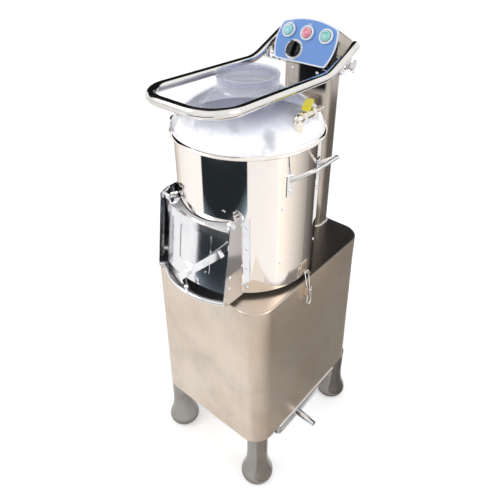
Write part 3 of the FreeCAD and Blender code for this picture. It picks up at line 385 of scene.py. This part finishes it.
def arc_points(centre_r, centre_z, radius, start, end, count):
    turns = [math.radians(start + (end - start) * i / count) for i in range(count + 1)]
    return [(centre_r + radius * math.cos(a), centre_z + radius * math.sin(a)) for a in turns]


def fascia_point(s, t, out=0.0):
    return FASCIA_LOW + Vector((1, 0, 0)) * s + FASCIA_UP * t + FASCIA_OUT * out


# Rivets, screws and weld beads by geometry nodes

def domed_head_tree():
    """Puts a low domed head on every point, turned to the point's own facing."""
    tree = bpy.data.node_groups.new("domed_heads", "GeometryNodeTree")
    inputs = (("Geometry", "NodeSocketGeometry", None), ("Head Radius", "NodeSocketFloat", 0.003),
              ("Head Height", "NodeSocketFloat", 0.0015), ("Jitter", "NodeSocketFloat", 0.0),
              ("Seed", "NodeSocketInt", 7), ("Material", "NodeSocketMaterial", None))
    for label, kind, default in inputs:
        socket = tree.interface.new_socket(name=label, in_out="INPUT", socket_type=kind)
        if default is not None:
            socket.default_value = default
    tree.interface.new_socket(name="Geometry", in_out="OUTPUT", socket_type="NodeSocketGeometry")
    nodes, link = tree.nodes, tree.links.new
    given, made = nodes.new("NodeGroupInput"), nodes.new("NodeGroupOutput")
    points = nodes.new("GeometryNodeMeshToPoints")
    link(given.outputs["Geometry"], points.inputs["Mesh"])
    ball = nodes.new("GeometryNodeMeshUVSphere")
    ball.inputs["Segments"].default_value = 20
    ball.inputs["Rings"].default_value = 12
    ball.inputs["Radius"].default_value = 1.0
    size = nodes.new("ShaderNodeCombineXYZ")
    link(given.outputs["Head Radius"], size.inputs["X"])
    link(given.outputs["Head Radius"], size.inputs["Y"])
    link(given.outputs["Head Height"], size.inputs["Z"])
    shaped = nodes.new("GeometryNodeTransform")
    link(ball.outputs["Mesh"], shaped.inputs["Geometry"])
    link(size.outputs["Vector"], shaped.inputs["Scale"])
    facing = nodes.new("GeometryNodeInputNamedAttribute")
    facing.data_type = "FLOAT_VECTOR"
    facing.inputs["Name"].default_value = "facing"
    turned = nodes.new("FunctionNodeAlignEulerToVector")
    turned.axis = "Z"
    link(facing.outputs["Attribute"], turned.inputs["Vector"])
    spread = nodes.new("FunctionNodeRandomValue")
    spread.data_type = "FLOAT"
    lowest = nodes.new("ShaderNodeMath")
    lowest.operation = "SUBTRACT"
    lowest.inputs[0].default_value = 1.0
    link(given.outputs["Jitter"], lowest.inputs[1])
    link(lowest.outputs[0], spread.inputs[2])
    spread.inputs[3].default_value = 1.0
    link(given.outputs["Seed"], spread.inputs["Seed"])
    placed = nodes.new("GeometryNodeInstanceOnPoints")
    link(points.outputs["Points"], placed.inputs["Points"])
    link(shaped.outputs["Geometry"], placed.inputs["Instance"])
    link(turned.outputs["Rotation"], placed.inputs["Rotation"])
    link(spread.outputs[1], placed.inputs["Scale"])
    real = nodes.new("GeometryNodeRealizeInstances")
    link(placed.outputs["Instances"], real.inputs["Geometry"])
    smooth = nodes.new("GeometryNodeSetShadeSmooth")
    link(real.outputs["Geometry"], smooth.inputs["Geometry"])
    coated = nodes.new("GeometryNodeSetMaterial")
    link(smooth.outputs["Geometry"], coated.inputs["Geometry"])
    link(given.outputs["Material"], coated.inputs["Material"])
    link(coated.outputs["Geometry"], made.inputs["Geometry"])
    return tree


DOMED_HEADS = domed_head_tree()


def domed_heads(name, places, radius, height, body, slot, finish=None, jitter=0.0, seed=7):
    """places holds (point, facing) pairs. The result is one plain mesh."""
    finish = finish or FINISH[slot]
    seeds = bpy.data.meshes.new(name + "_points")
    seeds.from_pydata([tuple(p) for p, _ in places], [], [])
    facing = seeds.attributes.new("facing", "FLOAT_VECTOR", "POINT")
    for i, (_, way) in enumerate(places):
        facing.data[i].vector = way
    holder = bpy.data.objects.new(name + "_holder", seeds)
    bpy.context.scene.collection.objects.link(holder)
    modifier = holder.modifiers.new("heads", "NODES")
    modifier.node_group = DOMED_HEADS
    given = {"Head Radius": radius, "Head Height": height, "Jitter": jitter, "Seed": seed,
             "Material": finish.material}
    for item in DOMED_HEADS.interface.items_tree:
        if item.item_type == "SOCKET" and item.in_out == "INPUT" and item.name in given:
            modifier[item.identifier] = given[item.name]
    graph = bpy.context.evaluated_depsgraph_get()
    mesh = bpy.data.meshes.new_from_object(holder.evaluated_get(graph))
    holder.modifiers.remove(modifier)
    bpy.data.objects.remove(holder)
    return add_piece(name, mesh, body, slot, finish)


def drum_place(angle, z, radius=DRUM_R):
    a = math.radians(angle)
    out = Vector((math.cos(a), math.sin(a), 0))
    return Vector((0, DRUM_Y, z)) + out * radius, out


def rounded_loop(half_x, low_y, high_y, corner, z, spacing):
    """Points along a rounded rectangle's outline, with the way they face."""
    points = []
    corners = [(half_x - corner, high_y - corner, 0), (-half_x + corner, high_y - corner, 90),
               (-half_x + corner, low_y + corner, 180), (half_x - corner, low_y + corner, 270)]
    outline = []
    for cx, cy, start in corners:
        for i in range(13):
            a = math.radians(start + 90 * i / 12)
            outline.append(Vector((cx + corner * math.cos(a), cy + corner * math.sin(a), z)))
    outline.append(outline[0])
    for a, b in zip(outline, outline[1:]):
        count = max(1, round((b - a).length / spacing))
        for i in range(count):
            points.append((a.lerp(b, i / count), Vector((0, 0, 1))))
    return points


# The solids, joined up and finished

SPECIAL = {
    "drum_shell": drum_mirror, "safety_rail": rail_mirror, "column": column_brushed_painted_shade,
    "cabinet_shell": cabinet_brushed_painted_shade, "head_housing": column_brushed_painted_shade, "fascia_plate": pale_edge,
    "hatch_door": door_polish,
}
REBUILT = {"button_cap_left", "button_cap_middle", "button_cap_right"}
for node in sorted(frame["nodes"]):
    if node not in REBUILT:
        dressed_copy(node, SPECIAL.get(node))


# Fascia: blue face inside a pale edge, dial marks, button domes in clear boots

def fascia_film():
    inset, lift = 0.0022, 0.00215
    low, mid, top, side, arch = 0.068 - inset, 0.080 - inset, 0.073 - inset, 0.085 - inset, 0.098 - inset

    def through(a, b, c, count):
        # A circle's arc through three flat points.
        ax, ay, bx, by, cx, cy = *a, *b, *c
        d = 2 * (ax * (by - cy) + bx * (cy - ay) + cx * (ay - by))
        ux = ((ax**2 + ay**2) * (by - cy) + (bx**2 + by**2) * (cy - ay) + (cx**2 + cy**2) * (ay - by)) / d
        uy = ((ax**2 + ay**2) * (cx - bx) + (bx**2 + by**2) * (ax - cx) + (cx**2 + cy**2) * (bx - ax)) / d
        radius = math.hypot(ax - ux, ay - uy)
        start, end = math.atan2(ay - uy, ax - ux), math.atan2(cy - uy, cx - ux)
        if abs(end - start) > math.pi:
            end += 2 * math.pi if end < start else -2 * math.pi
        return [(ux + radius * math.cos(start + (end - start) * i / count),
                 uy + radius * math.sin(start + (end - start) * i / count)) for i in range(count + 1)]

    right = through((low, inset), (mid, 0.048), (top, side), 16)
    crown = through((top, side), (0, arch), (-top, side), 24)
    left = through((-top, side), (-mid, 0.048), (-low, inset), 16)
    outline = right + crown[1:] + left[1:]
    trimmed = []
    corner = 0.006
    for i, p in enumerate(outline):
        back, ahead = Vector(outline[i - 1]), Vector(outline[(i + 1) % len(outline)])
        here = Vector(p)
        turn = (here - back).angle(ahead - here)
        if turn > 0.5:
            a = here + (back - here).normalized() * min(corner, (back - here).length * 0.95)
            b = here + (ahead - here).normalized() * min(corner, (ahead - here).length * 0.5)
            for k in range(7):
                w = k / 6
                trimmed.append(a.lerp(here, w).lerp(here.lerp(b, w), w))
        else:
            trimmed.append(here)
    work = bmesh.new()
    lower = [work.verts.new(fascia_point(p.x, p.y, lift - 0.0006)) for p in trimmed]
    upper = [work.verts.new(fascia_point(p.x, p.y, lift)) for p in trimmed]
    work.faces.new(upper)
    work.faces.new(list(reversed(lower)))
    for i in range(len(trimmed)):
        j = (i + 1) % len(trimmed)
        work.faces.new((lower[i], lower[j], upper[j], upper[i]))
    add_piece("fascia_film", mesh_from(work, "fascia_film", 20), "base", "fascia_blue")


fascia_film()

BUTTONS = (("left", -0.0505, "cyan_button"), ("middle", 0.0, "red_button"), ("right", 0.0505, "green_button"))
BUTTON_T = 0.066
for side, s, colour in BUTTONS:
    seat = fascia_point(s, BUTTON_T, 0.002)
    dome = [(0.0, -0.0118), (0.0088, -0.0118), (0.0088, 0.0052), (0.0114, 0.0056)]
    dome += arc_points(0.0, -0.0035, 0.01305, 42, 90, 9)[:-1] + [(0.0, 0.00955)]
    piece = spun("button_cap_%s_dome" % side, dome, seat, FASCIA_OUT, "button_" + side, colour, steps=48)
    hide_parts("button_cap_" + side)
    collar = [(0.0124, 0.0012), (0.0171, 0.0008)] + arc_points(0.0152, 0.0040, 0.0020, 0, 150, 8)
    collar += [(0.0124, 0.0046)]
    spun("button_boot_%s" % side, collar, seat, FASCIA_OUT, "base", "clear_cover", boot_clear, 48)


def flat_mark(name, text, s, t, size, finish, slot, lift=0.0023):
    """A small printed word, made as a thin mesh on the fascia."""
    curve = bpy.data.curves.new(name, "FONT")
    curve.body = text
    curve.size = size
    curve.align_x = "CENTER"
    curve.extrude = 0.00006
    holder = bpy.data.objects.new(name + "_word", curve)
    bpy.context.scene.collection.objects.link(holder)
    graph = bpy.context.evaluated_depsgraph_get()
    mesh = bpy.data.meshes.new_from_object(holder.evaluated_get(graph))
    bpy.data.objects.remove(holder)
    for v in mesh.vertices:
        v.co = fascia_point(s + v.co.x, t + v.co.y, lift + v.co.z)
    return add_piece(name, mesh, "base", slot, finish)


flat_mark("word_on", "ON", -0.0505, 0.0835, 0.0062, ink_white, "dial_white")
flat_mark("word_off", "OFF", 0.0, 0.0835, 0.0062, ink_white, "dial_white")

KNOB_S, KNOB_T = -0.0225, 0.0257
work = bmesh.new()
for i in range(25):
    a = math.radians(-60 + 300 * i / 24)
    long_tick = i % 4 == 0
    inner, outer, half = (0.0189 if long_tick else 0.0200), 0.0220, (0.00045 if long_tick else 0.00025)
    way, across = Vector((math.cos(a), math.sin(a))), Vector((-math.sin(a), math.cos(a)))
    corners = [way * inner + across * half, way * outer + across * half, way * outer - across * half,
               way * inner - across * half]
    low = [work.verts.new(fascia_point(KNOB_S + c.x, KNOB_T + c.y, 0.0035)) for c in corners]
    top = [work.verts.new(fascia_point(KNOB_S + c.x, KNOB_T + c.y, 0.0037)) for c in corners]
    work.faces.new(top)
    work.faces.new(list(reversed(low)))
    for k in range(4):
        work.faces.new((low[k], low[(k + 1) % 4], top[(k + 1) % 4], top[k]))
add_piece("dial_ticks", mesh_from(work, "dial_ticks"), "base", "black_plastic", ink_dark)

# Weld beads, rivets and screw heads

weld_gap = 0.0012
weld_line = rounded_loop(COLUMN_HIGH.x + weld_gap, COLUMN_LOW.y - weld_gap, COLUMN_HIGH.y + weld_gap,
                         0.021, 0.6195, 0.0026)
domed_heads("column_weld", weld_line, 0.0030, 0.0026, "base", "polished_steel", weld_finish, 0.25)
flange_offset = 0.0055
flange_right = math.degrees(math.acos((PLATE_RIGHT + flange_offset) / DRUM_R))
flange_left = math.degrees(math.acos((-PLATE_LEFT + flange_offset) / DRUM_R))
rivets = []
for z in (0.648, 0.700, 0.752, 0.806):
    for angle in (-flange_right, flange_left - 180.0):
        rivets.append(drum_place(angle, z, DRUM_R + 0.0016))
domed_heads("chute_rivets", rivets, 0.0036, 0.0024, "base", "polished_steel")
plate_bolts = []
for side, wall in ((-1, PLATE_LEFT), (1, PLATE_RIGHT)):
    for y, z in ((-0.2255, 0.700), (-0.2285, 0.672)):
        plate_bolts.append((Vector((wall, y, z)), Vector((side, 0, 0))))
domed_heads("chute_plate_bolts", plate_bolts, 0.0042, 0.0026, "base", "polished_steel")
head_screws = [(Vector((s, COLUMN_LOW.y, 1.034)), Vector((0, -1, 0))) for s in (-0.034, 0.034)]
domed_heads("head_screws", head_screws, 0.0042, 0.0022, "base", "polished_steel")


def stage_card(name, corners, strength, colour):
    """A card that only mirrors see, for the dark and bright shapes in the polished steel."""
    mesh = bpy.data.meshes.new(name)
    mesh.from_pydata(corners, [], [(0, 1, 2, 3)])
    card = bpy.data.objects.new(name, mesh)
    bpy.context.scene.collection.objects.link(card)
    finish = bpy.data.materials.new(name)
    finish.use_nodes = True
    nodes = finish.node_tree.nodes
    nodes.remove(nodes["Principled BSDF"])
    glow = nodes.new("ShaderNodeEmission")
    glow.inputs["Color"].default_value = colour
    glow.inputs["Strength"].default_value = strength
    finish.node_tree.links.new(glow.outputs[0], nodes["Material Output"].inputs["Surface"])
    mesh.materials.append(finish)
    card.visible_camera = False
    card.visible_diffuse = False
    card.visible_shadow = False


def upright_card(name, x, y, azimuth, width, low, high, strength=0.01, colour=rgb(1, 1, 1)):
    """A standing card centred over (x, y), facing back along its azimuth."""
    across = Vector((math.cos(math.radians(azimuth)), -math.sin(math.radians(azimuth)), 0)) * (width / 2)
    foot = Vector((x, y, low))
    rise = Vector((0, 0, high - low))
    stage_card(name, [foot - across, foot + across, foot + across + rise, foot - across + rise],
               strength, colour)


def level_card(name, x0, x1, y0, y1, strength, colour):
    """A card lying just over the floor."""
    stage_card(name, [(x0, y0, 0.003), (x1, y0, 0.003), (x1, y1, 0.003), (x0, y1, 0.003)], strength, colour)


def ceiling_card(name, x0, x1, y0, y1, height, strength):
    stage_card(name, [(x0, y0, height), (x1, y0, height), (x1, y1, height), (x0, y1, height)],
               strength, rgb(1, 1, 1))


def fan_card(name, start, end, strength, colour, reach=0.95, low=0.0, high=0.74):
    """A standing card between two azimuths around the drum, measured clockwise from the back."""
    turns = [math.radians(a) for a in (start, end)]
    near, far = (Vector((math.sin(a) * reach, DRUM_Y + math.cos(a) * reach, 0)) for a in turns)
    rise = Vector((0, 0, 1))
    stage_card(name, [near + rise * low, far + rise * low, far + rise * high, near + rise * high],
               strength, colour)


NIGHT = rgb(0.70, 0.95, 1.15)
WARM = rgb(1.0, 0.94, 0.88)
FRONT_TIERS = ((0.0, 0.05, 0.34), (0.05, 0.10, 0.20), (0.10, 0.15, 0.09), (0.15, 0.47, 0.024))
for tier, (low, high, strength) in enumerate(FRONT_TIERS):
    upright_card("dark_front_%d" % tier, 0.13, -1.22, 180, 1.66, low, high, strength, NIGHT)


def fan(name, start, end, count, first, last, bend=1.0):
    """Neighbouring cards whose brightness runs smoothly from the first to the last."""
    for i in range(count):
        share = ((i + 0.5) / count) ** bend
        edges = [start + (end - start) * k / count for k in (i, i + 1)]
        fan_card("%s_%02d" % (name, i), edges[0], edges[1], first + (last - first) * share, WARM)


fan("dim_right", 96, 40, 18, 1.22, 0.36, 1.15)
fan("dark_right", 40, 12, 4, 0.26, 0.05)
fan("dim_left", -66, -100, 8, 0.40, 0.95)
FLOOR_STEPS = ((-0.75, -0.45, 0.88), (-0.45, -0.28, 0.72), (-0.28, -0.14, 0.56), (-0.14, 0.0, 0.42),
               (0.0, 0.16, 0.31), (0.16, 1.30, 0.24))
for step, (near, far, strength) in enumerate(FLOOR_STEPS):
    level_card("dim_floor_right_%d" % step, 0.20, 0.90, near, far, strength, WARM)
level_card("dim_floor_left", -1.10, -0.42, -0.05, 1.00, 0.30, WARM)
for tier, (low, high, strength) in enumerate(((1.15, 4.6, 0.01), (4.6, 5.4, 0.18), (5.4, 6.4, 0.5))):
    upright_card("dark_behind_%d" % tier, -0.95, 1.35, -35, 3.4, low, high, strength)
for tier, (low, high, strength) in enumerate(((1.50, 4.4, 0.01), (4.4, 5.2, 0.18), (5.2, 6.2, 0.5))):
    upright_card("dark_left_high_%d" % tier, -1.7, 0.2, -80, 2.0, low, high, strength)

ceiling_card("dark_overhead", -3.0, 0.25, -0.45, 3.0, 3.6, 0.03)
ceiling_card("dim_overhead", -3.0, 0.25, -0.95, -0.45, 3.6, 0.35)

# Floor, light and camera

floor_size = 9.0
floor_mesh = bpy.data.meshes.new("floor")
floor_corners = [(x * floor_size, y * floor_size, 0) for x, y in ((-1, -1), (1, -1), (1, 1), (-1, 1))]
floor_mesh.from_pydata(floor_corners, [], [(0, 1, 2, 3)])
floor = bpy.data.objects.new("floor", floor_mesh)
bpy.context.scene.collection.objects.link(floor)


def pale_floor():
    finish = bpy.data.materials.new("pale_floor")
    finish.use_nodes = True
    nodes, link = finish.node_tree.nodes, finish.node_tree.links.new
    paint = nodes["Principled BSDF"]
    paint.inputs["Base Color"].default_value = rgb(0.93, 0.93, 0.93)
    paint.inputs["Roughness"].default_value = 0.9
    paint.inputs["Emission Color"].default_value = rgb(1, 1, 1)
    path = nodes.new("ShaderNodeLightPath")
    seen = nodes.new("ShaderNodeMath")
    seen.operation = "MAXIMUM"
    link(path.outputs["Is Camera Ray"], seen.inputs[0])
    link(path.outputs["Is Transmission Ray"], seen.inputs[1])
    direct = nodes.new("ShaderNodeMath")
    direct.operation = "MULTIPLY"
    direct.inputs[1].default_value = 0.46
    link(seen.outputs[0], direct.inputs[0])
    mirrored = nodes.new("ShaderNodeMath")
    mirrored.operation = "MULTIPLY_ADD"
    mirrored.inputs[1].default_value = 0.22
    link(path.outputs["Is Glossy Ray"], mirrored.inputs[0])
    link(direct.outputs[0], mirrored.inputs[2])
    link(mirrored.outputs[0], paint.inputs["Emission Strength"])
    return finish


floor_mesh.materials.append(pale_floor())

scene = bpy.context.scene
world = bpy.data.worlds.new("studio")
scene.world = world
world.use_nodes = True
sky = world.node_tree
glow = sky.nodes["Background"]
glow.inputs["Color"].default_value = rgb(1, 1, 1)
ray = sky.nodes.new("ShaderNodeLightPath")
seen = sky.nodes.new("ShaderNodeMath")
seen.operation = "MAXIMUM"
sky.links.new(ray.outputs["Is Camera Ray"], seen.inputs[0])
sky.links.new(ray.outputs["Is Transmission Ray"], seen.inputs[1])
also = sky.nodes.new("ShaderNodeMath")
also.operation = "MAXIMUM"
sky.links.new(seen.outputs[0], also.inputs[0])
sky.links.new(ray.outputs["Is Glossy Ray"], also.inputs[1])
level = sky.nodes.new("ShaderNodeMapRange")
sky.links.new(also.outputs[0], level.inputs["Value"])
level.inputs["To Min"].default_value = 0.62
level.inputs["To Max"].default_value = 1.0
sky.links.new(level.outputs["Result"], glow.inputs["Strength"])


def soft_lamp(name, place, aim, size, watts, colour=(1, 1, 1)):
    lamp = bpy.data.lights.new(name, "AREA")
    lamp.shape = "RECTANGLE"
    lamp.size, lamp.size_y = size
    lamp.energy = watts
    lamp.color = colour
    holder = bpy.data.objects.new(name, lamp)
    bpy.context.scene.collection.objects.link(holder)
    holder.location = place
    holder.rotation_euler = (Vector(aim) - Vector(place)).to_track_quat("-Z", "Y").to_euler()


soft_lamp("key_lamp", (-1.6, -2.0, 2.6), (0, 0, 0.6), (1.4, 1.4), 26, (1.0, 0.98, 0.95))
soft_lamp("fill_lamp", (2.4, 0.4, 1.9), (0, 0, 0.6), (1.2, 1.6), 14)

camera = bpy.data.objects.new("camera", bpy.data.cameras.new("camera"))
scene.collection.objects.link(camera)
camera.location = (0.6697, -0.8422, 1.3966)
yaw, pitch = math.radians(-40.1), math.radians(-32.1)
ahead = Vector((math.sin(yaw) * math.cos(pitch), math.cos(yaw) * math.cos(pitch), math.sin(pitch)))
camera.rotation_euler = ahead.to_track_quat("-Z", "Y").to_euler()
camera.data.sensor_width = 36.0
camera.data.lens = 37.13
camera.data.shift_y = -0.08
camera.data.clip_start = 0.05
scene.camera = camera
scene.view_settings.view_transform = "Standard"
